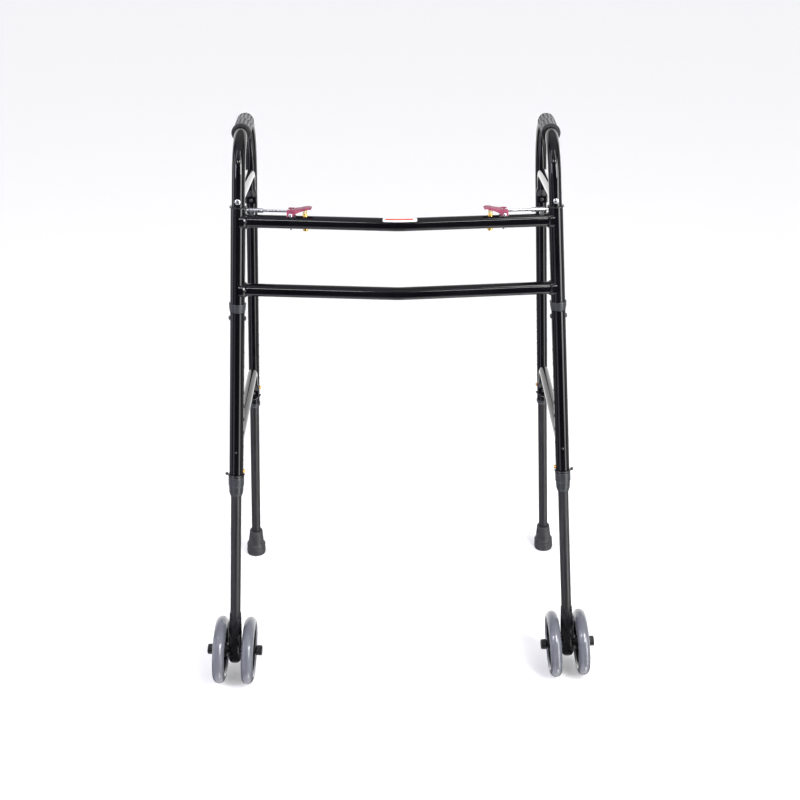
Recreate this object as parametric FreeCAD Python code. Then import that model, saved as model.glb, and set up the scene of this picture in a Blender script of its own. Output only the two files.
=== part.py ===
import FreeCAD, Part
import math
import os

from FreeCAD import Vector

# A folding walking frame on two pairs of front wheels and two rear rubber tips.
#
# Millimetres, +Z up, origin on the floor at the middle of the footprint.
# The front of the frame faces -Y and the person stands on the +Y side, facing
# the front, so the left side of the frame is at +X. Every side piece is made
# for the left side and mirrored for the right.

# ---------------------------------------------------------------- leg lines
# Each leg line is given by its place at REF_Z and by how far it moves outward
# (splay) and along Y (rake) for every millimetre that it drops.
REF_Z = 860.0
FRONT_X = 268.7
FRONT_Y = -156.5
FRONT_SPLAY = 0.0621
FRONT_RAKE = -0.0621
REAR_X = 279.5
REAR_Y = 188.5
REAR_SPLAY = 0.0517
REAR_RAKE = 0.0705

# ---------------------------------------------------------------- tube stock
LEG_R = 12.7              # 25.4 mm tube: sleeves and front legs
LEG_BORE = 11.2
SLEEVE_BORE = 11.6
SIDE_R = 11.1             # 22.2 mm tube: side tube and crossbars
SIDE_BORE = 9.9
INNER_R = 9.525           # 19.05 mm tube: leg extensions and side braces
INNER_BORE = 8.325
RUNNING = 0.05            # radial clearance of a running fit
GAP = 0.3                 # clearance between faces that pass each other

# ---------------------------------------------------------------- heights
GRIP_FRONT_Z = 1029.0     # corner of the side tube above the front leg
GRIP_REAR_Z = 1013.0      # corner of the side tube above the rear leg
FRONT_BEND_R = 62.0
REAR_BEND_R = 150.0
SLEEVE_TOP = 918.0
SLEEVE_BOTTOM = 753.0
UPPER_BAR_Z = 896.0
LOWER_BAR_Z = 777.0
BAR_BOW = 26.3            # how far the crossbars bow forward at the middle
BAR_BEND_R = 100.0
COLLAR_BOTTOM = 738.0
FRONT_LEG_TOP = 736.5
SIDE_TUBE_FRONT_END = 698.0
CROSS_BOLT_Z = 726.0
STOP_SCREW_Z = 930.0
FRONT_LEG_BOTTOM = 411.0
REAR_LEG_BOTTOM = 380.0
FRONT_BUTTON_Z = 438.5
REAR_BUTTON_Z = 420.0
HOLE_PITCH = 25.4
FRONT_HOLES = 10
REAR_HOLES = 9
FRONT_EXT_TOP = 470.0
FRONT_EXT_BOTTOM = 47.0
REAR_EXT_TOP = 460.0
REAR_EXT_BOTTOM = 9.0

# ---------------------------------------------------------------- wheels
WHEEL_R = 63.5
TYRE_WIDTH = 22.0
TYRE_INNER_R = 47.0
HUB_WIDTH = 24.0
HUB_R = 13.0
RIM_R = 47.0
RIM_INNER_R = 41.5
SPOKES = 5
SPOKE_WIDTH = 8.0
WHEEL_OFFSET = 26.6       # leg line to the middle plane of a wheel
AXLE_Z = 65.2
AXLE_R = 4.0
CAP_R = 9.7
CAP_LENGTH = 12.5
BRACKET_R = 12.3
BRACKET_TOP = 145.0
BRACKET_NOTCH = 118.0     # bottom of the V cut in the bracket's front
BRACKET_BOTTOM = 39.0

# ---------------------------------------------------------------- small parts
GRIP_LENGTH = 118.0
GRIP_R = 15.1
GRIP_FLANGE_R = 16.6
GRIP_FLANGE = 6.0
BUTTON_R = 3.7
BUTTON_PROUD = 3.4
BUTTON_HOLE_R = 4.1
LEVER_X = 177.5           # pivot of a release lever, along the upper crossbar
LEVER_PIVOT_H = 13.6      # above the crossbar's axis
LEVER_LINK_H = 7.0        # link pin above the pivot
PIVOT_PIN_R = 2.0
LINK_PIN_R = 1.5
LEVER_HALF = 7.5          # half the paddle's width
CHEEK_IN = 5.6            # inner faces of the lever's cheeks
EAR_OUT = 5.3             # outer and inner faces of the bracket's ears
EAR_IN = 3.7
ROD_H = 18.6              # latch rod above the crossbar's axis
ROD_R = 2.2
GUIDE_R = 3.8
SPRING_AT = 23.5          # lever spring, along the bar from the pivot
SPRING_LOW = 12.7         # foot of the lever spring, above the bar's axis
SPRING_LENGTH = 9.0
SPRING_R = 3.4
SPRING_WIRE_R = 0.6
SPRING_TURNS = 3.5
BOLT_R = 2.2
BRACKET_RIVET_R = 1.8
UPPER_BRACE_FRONT_Z = 932.5
UPPER_BRACE_REAR_Z = 893.0
LOWER_BRACE_FRONT_Z = 480.0
LOWER_BRACE_REAR_Z = 470.0
BRACE_OFF_LEG = 0.8       # gap between a brace's bent end and the rear leg
BRACE_BEND_R = 24.0
BRACE_TUBE_DROP = 32.0    # from the bend's corner down to where the tube flattens
TAB_START = 50.0          # from the bend's corner down to the flat tab
TAB_DROP = 14.0           # length of the flat tab
TAB_HALF_WIDTH = 11.5
TAB_HALF_THICK = 2.6
TAB_SEAT = 0.4            # depth of the leg's print in the tab
HEAD_OFF_TAB = 0.04       # gap between a rivet's shank and the tab's face
CLIP_WIRE_R = 1.3
FRONT_CLIP_Z = 432.4
REAR_CLIP_Z = 397.0
REAR_CLIP_TILT = 24.0     # degrees

UP = Vector(0, 0, 1)
ALONG_X = Vector(1, 0, 0)
ALONG_Y = Vector(0, 1, 0)


# ---------------------------------------------------------------- geometry
def front(z):
    """Point of the left front leg line at height z."""
    drop = REF_Z - z
    return Vector(FRONT_X + FRONT_SPLAY * drop, FRONT_Y + FRONT_RAKE * drop, z)


def rear(z):
    """Point of the left rear leg line at height z."""
    drop = REF_Z - z
    return Vector(REAR_X + REAR_SPLAY * drop, REAR_Y + REAR_RAKE * drop, z)


def unit(vector):
    return Vector(vector).normalize()


def square_to(vector, axis):
    """The part of vector that is square to axis, as a unit vector."""
    return unit(vector - axis * vector.dot(axis))


FRONT_UP = unit(front(1000) - front(0))
REAR_UP = unit(rear(1000) - rear(0))
FRONT_IN = square_to(Vector(-1, 0, 0), FRONT_UP)     # towards the other side
REAR_IN = square_to(Vector(-1, 0, 0), REAR_UP)
FRONT_AHEAD = square_to(Vector(0, -1, 0), FRONT_UP)
REAR_AHEAD = square_to(Vector(0, -1, 0), REAR_UP)
AXLE_OUT = unit(ALONG_Y.cross(FRONT_UP))             # wheels lean with the leg


def rod(start, end, radius):
    span = end - start
    return Part.makeCylinder(radius, span.Length, start, span)


def tube(start, end, outer, inner):
    """A straight tube, open at both ends."""
    reach = unit(end - start)
    return rod(start, end, outer).cut(rod(start - reach, end + reach, inner))


def turned(outline, base, axis):
    """Solid of revolution: outline is (distance along axis, radius) points."""
    points = [Vector(radius, 0, along) for along, radius in outline]
    face = Part.Face(Part.makePolygon(points + points[:1]))
    solid = face.revolve(Vector(0, 0, 0), UP, 360)
    solid.Placement = FreeCAD.Placement(base, FreeCAD.Rotation(UP, axis))
    return solid


def ring(base, axis, length, outer, inner):
    outline = [(0, inner), (0, outer), (length, outer), (length, inner)]
    return turned(outline, base, axis)


def bent_path(points, radii):
    """Straight runs through points, with a tangent arc at each inner point."""
    edges = []
    here = points[0]
    for index, radius in enumerate(radii, start=1):
        corner = points[index]
        back = unit(points[index - 1] - corner)
        ahead = unit(points[index + 1] - corner)
        half = back.getAngle(ahead) / 2
        reach = radius / math.tan(half)
        first = corner + back * reach
        last = corner + ahead * reach
        centre = corner + unit(back + ahead) * (radius / math.sin(half))
        middle = centre + unit(corner - centre) * radius
        edges.append(Part.LineSegment(here, first).toShape())
        edges.append(Part.Arc(first, middle, last).toShape())
        here = last
    edges.append(Part.LineSegment(here, points[-1]).toShape())
    return Part.Wire(edges)


def swept(path, radius):
    start = path.Edges[0].Vertexes[0].Point
    heading = path.Edges[0].tangentAt(path.Edges[0].FirstParameter)
    profile = Part.Wire(Part.makeCircle(radius, start, heading))
    return path.makePipeShell([profile], True, True)


def oval(centre, normal, across, half_across, half_through):
    """Closed elliptical wire, half_across along the direction across."""
    through = unit(normal.cross(across))
    if half_across >= half_through:
        ellipse = Part.Ellipse(centre + across * half_across,
                               centre + through * half_through, centre)
    else:
        ellipse = Part.Ellipse(centre + through * half_through,
                               centre - across * half_across, centre)
    return Part.Wire(ellipse.toShape())


def mirrored(shape):
    return shape.mirror(Vector(0, 0, 0), ALONG_X)


def write(name, shape):
    shape.exportStep("parts/" + name + ".step")


def write_group(name, solids):
    write(name, Part.makeCompound(solids))


def write_both_sides(name, shape):
    """One node for each side of the frame, such as left_sleeve."""
    write("left_" + name, shape)
    write("right_" + name, mirrored(shape))


def write_shared(name, solids):
    """One node that holds the left solids and their mirror images."""
    write_group(name, solids + [mirrored(solid) for solid in solids])


# ---------------------------------------------------------------- the front frame
def bar_point(z, along):
    """Axis of a crossbar at height z; along is X, from the middle outward."""
    end = front(z)
    ahead = BAR_BOW * (1 - abs(along) / end.x)
    return Vector(along, end.y - ahead, z)


def bar_path(z):
    end = front(z)
    points = [Vector(-end.x, end.y, z), bar_point(z, 0), end]
    return bent_path(points, [BAR_BEND_R])


def sleeve():
    body = tube(front(SLEEVE_BOTTOM), front(SLEEVE_TOP), LEG_R, SLEEVE_BORE)
    return body.cut(latch_hole())


def latch_hole():
    """Round hole on the line of the latch rod, from the bar to the leg's axis."""
    reach = LEVER_X - front(UPPER_BAR_Z).x
    return placed(rod(Vector(reach + 40, 0, ROD_H), Vector(reach, 0, ROD_H),
                      ROD_R + GAP))


def bar_heading():
    """From the left end of the upper crossbar towards its middle."""
    return unit(bar_point(UPPER_BAR_Z, 0) - front(UPPER_BAR_Z))


def crossbar(z):
    path = bar_path(z)
    body = swept(path, SIDE_R).cut(swept(path, SIDE_BORE))
    for cutter in (sleeve_cutter(), mirrored(sleeve_cutter())):
        body = body.cut(cutter)
    return body


def upper_crossbar():
    """Crossbar with the holes for the lever's rivets and spring bolts."""
    holes = [placed(rod(Vector(0, 0, -20), Vector(0, 0, 20), BRACKET_RIVET_R)),
             placed(rod(Vector(SPRING_AT, 0, -20), Vector(SPRING_AT, 0, 20), BOLT_R))]
    return cut_all(crossbar(UPPER_BAR_Z), holes + [mirrored(hole) for hole in holes])


def sleeve_cutter():
    return rod(front(SLEEVE_BOTTOM - 10), front(SLEEVE_TOP + 10), LEG_R)


def weld_bead(z):
    """Fillet of weld round the end of a crossbar, against its sleeve."""
    end = front(z)
    heading = unit(bar_point(z, 0) - end)
    outline = [(4.0, SIDE_R), (4.0, SIDE_R + 3.4), (12.0, SIDE_R + 3.0),
               (14.6, SIDE_R + 1.6), (16.4, SIDE_R)]
    bead = turned(outline, end, heading)
    return bead.cut(sleeve_cutter())


def upper_bushing():
    """Plastic bearing in the sleeve's top, with a thin flange above it."""
    outline = [(-12.0, SIDE_R + RUNNING), (-12.0, SLEEVE_BORE), (0, SLEEVE_BORE),
               (0, 14.6), (1.6, 14.6), (2.4, 13.6), (2.4, SIDE_R + RUNNING)]
    body = turned(outline, front(SLEEVE_TOP), FRONT_UP)
    return body.cut(latch_hole())


def lower_collar():
    """Plastic bearing under the sleeve, tapering towards the leg below."""
    drop = SLEEVE_BOTTOM - COLLAR_BOTTOM
    outline = [(12.0, SIDE_R + RUNNING), (12.0, SLEEVE_BORE), (0, SLEEVE_BORE),
               (0, 14.5), (-1.2, 14.7), (-drop * 0.55, 14.3), (-drop, 13.2),
               (-drop, SIDE_R + RUNNING)]
    return turned(outline, front(SLEEVE_BOTTOM), FRONT_UP)


# ---------------------------------------------------------------- release levers
def lever_place():
    """Placement of a lever: X along the bar to its middle, Y forward, Z up."""
    heading = bar_heading()
    ahead = UP.cross(heading)
    base = bar_point(UPPER_BAR_Z, LEVER_X)
    return FreeCAD.Matrix(heading.x, ahead.x, 0, base.x,
                          heading.y, ahead.y, 0, base.y,
                          heading.z, ahead.z, 1, base.z,
                          0, 0, 0, 1)


def placed(shape):
    """A shape drawn beside a lever's pivot, set on the left of the crossbar."""
    return shape.transformed(lever_place())


def box(low, high):
    size = Vector(*high) - Vector(*low)
    return Part.makeBox(size.x, size.y, size.z, Vector(*low))


def bar_stand_in():
    """The crossbar's outside, straight, beside the pivot."""
    return rod(Vector(-120, 0, 0), Vector(120, 0, 0), SIDE_R)


def lever_bracket():
    """Saddle riveted on the bar, with two ears that hold the pivot pin."""
    saddle = rod(Vector(-7, 0, 0), Vector(9, 0, 0), SIDE_R + 1.2)
    saddle = saddle.common(box((-7, -EAR_OUT, 5), (9, EAR_OUT, 20)))
    ears = box((-5, -EAR_OUT, 9), (6, EAR_OUT, LEVER_PIVOT_H + 3.2))
    ears = ears.cut(box((-6, -EAR_IN, 5), (7, EAR_IN, 40)))
    body = saddle.fuse(ears).cut(bar_stand_in())
    rivet = rod(Vector(0, 0, 11.2), Vector(0, 0, -12.4), BRACKET_RIVET_R)
    end = rod(Vector(0, 0, -10.4), Vector(0, 0, -13.2), 3.0).cut(bar_stand_in())
    body = body.fuse(rivet).fuse(end)
    return body.cut(pivot_cutter(0)).removeSplitter()


def pivot_cutter(clearance):
    """Cylinder on the lever's pivot line."""
    return rod(Vector(0, -20, LEVER_PIVOT_H), Vector(0, 20, LEVER_PIVOT_H),
               PIVOT_PIN_R + clearance)


def lever_pivot_pin():
    ends = LEVER_HALF + 0.2
    shank = rod(Vector(0, -ends, LEVER_PIVOT_H), Vector(0, ends, LEVER_PIVOT_H),
                PIVOT_PIN_R)
    heads = [domed_head(Vector(0, side * ends, LEVER_PIVOT_H), Vector(0, side, 0),
                        3.2, 1.3) for side in (-1, 1)]
    return shank.multiFuse(heads).removeSplitter()


def lever():
    """Bent paddle: a top plate with two cheeks that straddle the bracket."""
    outer = [(-6.0, 11.0), (4.0, 11.0), (8.5, 15.6), (16, 19.4), (24, 22.4),
             (30, 23.6), (34.2, 23.2), (34.8, 24.4), (33.8, 26.0), (29, 26.6),
             (23, 26.0), (14, 23.8), (6.5, 22.9), (3.5, 23.2), (-4.2, 23.0),
             (-6.0, 21.2)]
    pocket = [(-20, 0), (-20, 40), (4.6, 40), (4.6, 20.9), (7, 20.9), (14, 21.7),
              (23, 23.9), (29, 24.5), (32.6, 24.2), (32.6, 0)]
    body = flat_prism(outer, LEVER_HALF).cut(flat_prism(pocket, CHEEK_IN))
    body = soft_edges(body)
    return body.cut(pivot_cutter(RUNNING)).removeSplitter()


def flat_prism(outline, half_width):
    """Outline in the lever's X and Z, as a prism centred on its middle plane."""
    points = [Vector(x, -half_width, z) for x, z in outline]
    face = Part.Face(Part.makePolygon(points + points[:1]))
    return face.extrude(Vector(0, 2 * half_width, 0))


def soft_edges(body):
    """Rounds the long upper edges of the paddle, outside only."""
    edges = [edge for edge in body.Edges
             if all(abs(abs(v.Y) - LEVER_HALF) < 0.01 and v.Z > 22.8 and v.X > 3
                    for v in edge.Vertexes)]
    return body.makeFillet(0.9, edges)


def lever_link_pin():
    height = LEVER_PIVOT_H + LEVER_LINK_H
    return rod(Vector(0, -CHEEK_IN, height), Vector(0, CHEEK_IN, height), LINK_PIN_R)


def latch_rod():
    """Rod from a fork under the lever's link pin to the hole in the sleeve."""
    link_z = LEVER_PIVOT_H + LEVER_LINK_H
    reach = LEVER_X - front(UPPER_BAR_Z).x
    body = rod(Vector(-4, 0, ROD_H), Vector(reach + 6, 0, ROD_H), ROD_R)
    fork = box((-5.0, -3.4, link_z - 4.6), (3.6, 3.4, link_z + 1.2))
    slot_low = link_z - 0.6
    slot_r = LINK_PIN_R + 0.12
    slot = box((-slot_r, -9, slot_low), (slot_r, 9, link_z + 5))
    slot = slot.fuse(rod(Vector(0, -9, slot_low), Vector(0, 9, slot_low), slot_r))
    body = placed(body.fuse(fork).cut(slot).removeSplitter())
    return body.cut(rod(front(SLEEVE_BOTTOM), front(STOP_SCREW_Z), SLEEVE_BORE + 0.2))


def rod_guide():
    """Short barrel beside the sleeve that the latch rod slides in, on a post."""
    near = -46.0
    far = -69.0
    post = box((far + 1, -2.2, 8), (far + 8, 2.2, ROD_H))
    barrel = rod(Vector(near, 0, ROD_H), Vector(far, 0, ROD_H), GUIDE_R)
    body = post.fuse(barrel).cut(bar_stand_in())
    bore = rod(Vector(near + 9, 0, ROD_H), Vector(far - 9, 0, ROD_H), ROD_R + 0.06)
    return body.cut(bore).removeSplitter()


def spring_bolt():
    """Bolt through the bar that keeps the lever spring in its place."""
    shank = rod(Vector(SPRING_AT, 0, -15.0), Vector(SPRING_AT, 0, 15.0), BOLT_R)
    nut = rod(Vector(SPRING_AT, 0, -14.2), Vector(SPRING_AT, 0, -8.0), 4.4)
    washer = rod(Vector(SPRING_AT, 0, 8.0), Vector(SPRING_AT, 0, 12.0), 4.8)
    seats = nut.fuse(washer).cut(bar_stand_in())
    return shank.fuse(seats).removeSplitter()


def lever_spring():
    """Short compression spring between the bar and the lever's plate."""
    helix = Part.makeHelix(SPRING_LENGTH / SPRING_TURNS, SPRING_LENGTH, SPRING_R)
    profile = Part.Wire(Part.makeCircle(SPRING_WIRE_R, Vector(SPRING_R, 0, 0),
                                        Vector(0, 1, 0)))
    coil = Part.Wire(helix).makePipeShell([profile], True, True)
    coil.translate(Vector(SPRING_AT, 0, SPRING_LOW + SPRING_WIRE_R))
    return coil


# ---------------------------------------------------------------- a side frame
def side_path():
    corners = [front(SIDE_TUBE_FRONT_END), front(GRIP_FRONT_Z), rear(GRIP_REAR_Z),
               rear(REAR_LEG_BOTTOM)]
    return bent_path(corners, [FRONT_BEND_R, REAR_BEND_R])


def button_holes(base_point, leg_up, leg_in, count):
    """Row of snap-button holes in the inner wall of a leg."""
    holes = []
    for index in range(count):
        at = base_point + leg_up * (HOLE_PITCH * index)
        holes.append(rod(at, at + leg_in * 20, BUTTON_HOLE_R))
    return holes


def cut_all(body, cutters):
    for cutter in cutters:
        body = body.cut(cutter)
    return body


def clip_hole(at, leg_in):
    return rod(at + leg_in * 5, at + leg_in * 20, CLIP_WIRE_R + 0.1)


def cross_bolt_hole():
    at = front(CROSS_BOLT_Z)
    return rod(at - FRONT_IN * 20, at + FRONT_IN * 20, 2.6)


def side_tube():
    """One tube: front upright, hand grip bar and rear leg."""
    path = side_path()
    body = swept(path, SIDE_R).cut(swept(path, SIDE_BORE))
    at = front(STOP_SCREW_Z)
    clip_at = rear(REAR_CLIP_Z) + REAR_UP * clip_rise(SIDE_R, REAR_CLIP_TILT)
    holes = [cross_bolt_hole(), rod(at, at + FRONT_AHEAD * 20, 2.5),
             latch_hole(), clip_hole(clip_at, REAR_IN)]
    holes += button_holes(rear(REAR_BUTTON_Z), REAR_UP, REAR_IN, REAR_HOLES)
    return cut_all(body, holes)


def front_leg():
    """Outer front leg, bolted over the foot of the side tube."""
    body = tube(front(FRONT_LEG_BOTTOM), front(FRONT_LEG_TOP), LEG_R, LEG_BORE)
    holes = [cross_bolt_hole(), clip_hole(front(FRONT_CLIP_Z), FRONT_IN)]
    holes += button_holes(front(FRONT_BUTTON_Z), FRONT_UP, FRONT_IN, FRONT_HOLES)
    return cut_all(body, holes)


def grip_line():
    """Start point and heading of the straight part of the side tube."""
    arc_end = side_path().Edges[1].Vertexes[-1].Point
    heading = unit(rear(GRIP_REAR_Z) - front(GRIP_FRONT_Z))
    return arc_end, heading


def hand_grip():
    """Soft sleeve with a wider flange at its front end."""
    start, heading = grip_line()
    outline = [(0, SIDE_R), (0, GRIP_FLANGE_R - 0.8), (0.8, GRIP_FLANGE_R),
               (GRIP_FLANGE - 1, GRIP_FLANGE_R), (GRIP_FLANGE, GRIP_R + 0.2),
               (GRIP_FLANGE + 2, GRIP_R), (GRIP_LENGTH - 2, GRIP_R),
               (GRIP_LENGTH, GRIP_R - 1.8), (GRIP_LENGTH, SIDE_R)]
    return turned(outline, start, heading)


def side_brace(front_z, rear_z, leg_radius):
    """Tube from the back of the front leg to the front of the rear leg.

    Its front end is cut to the leg and its rear end bends down and is pressed
    flat against the rear leg.
    """
    foot = front(front_z)
    level = unit(rear(rear_z) - foot)
    corner = rear(rear_z) + REAR_AHEAD * (SIDE_R + INNER_R + BRACE_OFF_LEG)
    low = corner - REAR_UP * BRACE_TUBE_DROP
    path = bent_path([foot, corner, low], [BRACE_BEND_R])
    body = swept(path, INNER_R).cut(swept(path, INNER_BORE))
    body = body.cut(rod(foot - FRONT_UP * 60, foot + FRONT_UP * 60, leg_radius))
    return body.fuse(flattened_end(rear(rear_z), low, level))


def flattened_end(on_leg, low, level):
    """Pressed end of a side brace, from the round tube to a flat tab."""
    across = square_to(level.cross(REAR_UP), REAR_UP)
    seat = on_leg + REAR_AHEAD * (SIDE_R + TAB_HALF_THICK - TAB_SEAT)
    swage = INNER_R + 0.2
    sections = [oval(low + REAR_UP * 4, REAR_UP, across, swage, swage * 0.999),
                oval(seat - REAR_UP * TAB_START, REAR_UP, across,
                     TAB_HALF_WIDTH, TAB_HALF_THICK),
                oval(seat - REAR_UP * (TAB_START + TAB_DROP), REAR_UP, across,
                     TAB_HALF_WIDTH, TAB_HALF_THICK)]
    tab = Part.makeLoft(sections, True, True)
    return tab.cut(rod(on_leg + REAR_UP * 30, on_leg - REAR_UP * 130, SIDE_R))


def front_bushing():
    """Plastic end of a front leg: a band outside and a bearing inside."""
    outline = [(18.0, LEG_R), (18.0, 13.7), (17.2, 14.1), (0.8, 14.1), (0, 13.7),
               (-1.0, 13.2), (-13.0, 12.7), (-19.5, 10.9), (-19.5, INNER_R + 0.08),
               (14.0, INNER_R + 0.08), (14.0, LEG_BORE), (0, LEG_BORE), (0, LEG_R)]
    return turned(outline, front(FRONT_LEG_BOTTOM), FRONT_UP)


def rear_bushing():
    """Plastic ring over the end of a rear leg."""
    outline = [(6.0, SIDE_R), (6.0, 12.1), (0, 12.3), (-3.5, 10.6),
               (-3.5, INNER_R + 0.08), (0, INNER_R + 0.08), (0, SIDE_R)]
    return turned(outline, rear(REAR_LEG_BOTTOM), REAR_UP)


def domed_head(centre, outward, radius, height):
    """Low domed fastener head with its flat side at centre."""
    outline = [(0, 0), (0, radius), (height * 0.45, radius * 0.93),
               (height * 0.8, radius * 0.7), (height, radius * 0.35), (height, 0)]
    return turned(outline, centre, outward)


def seated_head(line_point, outward, leg_radius, leg_up, radius, height):
    """Domed head whose underside follows the round leg that it sits on."""
    base = line_point + outward * (leg_radius - 1.0)
    head = domed_head(base, outward, radius, height + 1.0)
    leg = rod(line_point - leg_up * 20, line_point + leg_up * 20, leg_radius + 0.02)
    return head.cut(leg)


def side_fasteners():
    """Cross bolt and rivets of one side frame."""
    at = front(CROSS_BOLT_Z)
    bolt = rod(at - FRONT_IN * (LEG_R + 0.6), at + FRONT_IN * (LEG_R + 0.6), 2.5)
    heads = [seated_head(at, side, LEG_R, FRONT_UP, 4.6, 2.5)
             for side in (FRONT_IN, FRONT_IN * -1)]
    bolt = bolt.multiFuse(heads)
    dot = seated_head(front(LOWER_BRACE_FRONT_Z - 1), FRONT_AHEAD, LEG_R, FRONT_UP,
                      2.4, 1.0)
    rivets = []
    for brace_z in (UPPER_BRACE_REAR_Z, LOWER_BRACE_REAR_Z):
        rivet_at = rear(brace_z) - REAR_UP * (TAB_START + TAB_DROP / 2)
        tab_face = SIDE_R + 2 * TAB_HALF_THICK - TAB_SEAT + HEAD_OFF_TAB
        rivets.append(domed_head(rivet_at + REAR_AHEAD * tab_face,
                                 REAR_AHEAD, 3.6, 1.8))
    return [bolt, dot] + rivets


def stop_screw():
    """Screw in the front of the side tube, just above the sleeve."""
    at = front(STOP_SCREW_Z)
    shank = rod(at + FRONT_AHEAD * (SIDE_BORE + 0.1), at + FRONT_AHEAD * (SIDE_R + 1),
                2.4)
    return shank.fuse(seated_head(at, FRONT_AHEAD, SIDE_R, FRONT_UP, 4.8, 2.9))


def clip_bend(radius):
    return radius + CLIP_WIRE_R + GAP


def clip_rise(radius, tilt):
    """How much higher a tilted clip's inner end is than its middle."""
    return clip_bend(radius) * math.tan(math.radians(tilt))


def lock_clip(centre, leg_up, leg_in, ahead, radius, tilt):
    """Sprung wire that wraps the front of a leg, with a ball on its outer end."""
    wire_r = CLIP_WIRE_R
    bend = clip_bend(radius)
    rise = leg_up * clip_rise(radius, tilt)
    start = centre + leg_in * bend + rise
    middle = centre + ahead * bend
    end = centre - leg_in * bend - rise
    arc = Part.Wire(Part.Arc(start, middle, end).toShape())
    heading = arc.Edges[0].tangentAt(arc.Edges[0].FirstParameter)
    profile = Part.Wire(Part.makeCircle(wire_r, start, heading))
    wire = arc.makePipeShell([profile], True, True)
    pin = rod(start - leg_in * (bend - radius + 1.0), start + leg_in * 0.6, wire_r)
    ball = Part.makeSphere(2.9, end - leg_in * 2.6)
    knuckle = Part.makeSphere(wire_r * 1.02, start)
    return wire.multiFuse([pin, knuckle, ball])


# ---------------------------------------------------------------- front extension
def front_extension():
    body = tube(front(FRONT_EXT_BOTTOM), front(FRONT_EXT_TOP), INNER_R, INNER_BORE)
    at = front(FRONT_BUTTON_Z)
    axle = front(AXLE_Z)
    return cut_all(body, [rod(at, at + FRONT_IN * 20, BUTTON_R + RUNNING),
                          rod(axle - AXLE_OUT * 30, axle + AXLE_OUT * 30, AXLE_R)])


def guide_ring():
    """Plastic ring that keeps the extension's top central in the leg."""
    return ring(front(FRONT_EXT_TOP - 14), FRONT_UP, 11, LEG_BORE - 0.1, INNER_R)


def wheel_bracket():
    """Moulded socket round the foot of the extension, with axle bosses."""
    outline = [(0, 0), (0.0, 5.5), (2.2, 9.4), (6.0, 11.6), (11.0, BRACKET_R)]
    top = BRACKET_TOP - BRACKET_BOTTOM
    outline += [(top - 40, BRACKET_R), (top, 10.9), (top, 0)]
    body = turned(outline, front(BRACKET_BOTTOM), FRONT_UP)
    axle = front(AXLE_Z)
    boss_end = WHEEL_OFFSET - HUB_WIDTH / 2 - GAP
    body = body.fuse(rod(axle - AXLE_OUT * boss_end, axle + AXLE_OUT * boss_end, 9.0))
    rib_low = front(BRACKET_BOTTOM + 8)
    rib_high = front(BRACKET_NOTCH)
    rib = rod(rib_low + FRONT_AHEAD * 11.6, rib_high + FRONT_AHEAD * 10.4, 1.9)
    body = body.fuse(rib)
    body = body.cut(rod(front(FRONT_EXT_BOTTOM), front(BRACKET_TOP + 5), INNER_R))
    body = body.cut(rod(axle - AXLE_OUT * 30, axle + AXLE_OUT * 30, AXLE_R))
    for side in (FRONT_AHEAD, FRONT_AHEAD * -1):
        body = body.cut(v_notch(side))
    return body.removeSplitter()


def v_notch(facing):
    """Wedge that leaves the bracket's walls high at the sides only."""
    tip = front(BRACKET_NOTCH) + facing * 4
    sides = [front(BRACKET_TOP + 8) + facing * 4 + FRONT_IN * 10.5,
             front(BRACKET_TOP + 8) + facing * 4 - FRONT_IN * 10.5]
    face = Part.Face(Part.makePolygon([tip] + sides + [tip]))
    return face.extrude(facing * 20)


def axle():
    end = WHEEL_OFFSET + HUB_WIDTH / 2 + 9
    at = front(AXLE_Z)
    return rod(at - AXLE_OUT * end, at + AXLE_OUT * end, AXLE_R)


def axle_cap(side):
    """Push-on cap over one end of the axle; side is 1 outward, -1 inward."""
    outward = AXLE_OUT * side
    near = WHEEL_OFFSET + HUB_WIDTH / 2 + GAP
    outline = [(0, AXLE_R), (0, 6.4), (1.4, 8.9), (2.2, CAP_R - 0.3), (3.0, CAP_R),
               (CAP_LENGTH - 1.4, CAP_R), (CAP_LENGTH, CAP_R - 1.4), (CAP_LENGTH, 0),
               (9 - GAP, 0), (9 - GAP, AXLE_R)]
    return turned(outline, front(AXLE_Z) + outward * near, outward)


# ---------------------------------------------------------------- wheels
def wheel_centre(side):
    return front(AXLE_Z) + AXLE_OUT * (WHEEL_OFFSET * side)


def tyre(side):
    """Solid tyre: a rounded tread on a rim seat."""
    half = TYRE_WIDTH / 2
    bulge = WHEEL_R - half
    outline = [(-half + 2.5, TYRE_INNER_R), (-half, TYRE_INNER_R + 3)]
    steps = 12
    for index in range(steps + 1):
        angle = math.pi * index / steps
        outline.append((-half * math.cos(angle), bulge + half * math.sin(angle)))
    outline += [(half, TYRE_INNER_R + 3), (half - 2.5, TYRE_INNER_R)]
    return turned(outline, wheel_centre(side), AXLE_OUT)


def hub(side):
    """Moulded wheel centre: rim, spokes and a boss with its bore."""
    centre = wheel_centre(side)
    half = HUB_WIDTH / 2
    rim_half = TYRE_WIDTH / 2 - 2.5
    rim = ring(centre - AXLE_OUT * rim_half, AXLE_OUT, 2 * rim_half, RIM_R, RIM_INNER_R)
    boss = rod(centre - AXLE_OUT * half, centre + AXLE_OUT * half, HUB_R)
    web = ring(centre - AXLE_OUT * 1.5, AXLE_OUT, 3.0, RIM_INNER_R + 0.5, 30.0)
    spoke_solids = []
    rise = square_to(UP, AXLE_OUT)
    for index in range(SPOKES):
        turn = FreeCAD.Rotation(AXLE_OUT, 360.0 * index / SPOKES)
        reach = turn.multVec(rise)
        across = turn.multVec(AXLE_OUT.cross(rise))
        spoke_solids.append(spoke(centre, reach, across))
    body = boss.multiFuse([rim, web] + spoke_solids)
    bore = rod(centre - AXLE_OUT * 30, centre + AXLE_OUT * 30, AXLE_R + RUNNING)
    return body.cut(bore).removeSplitter()


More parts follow.
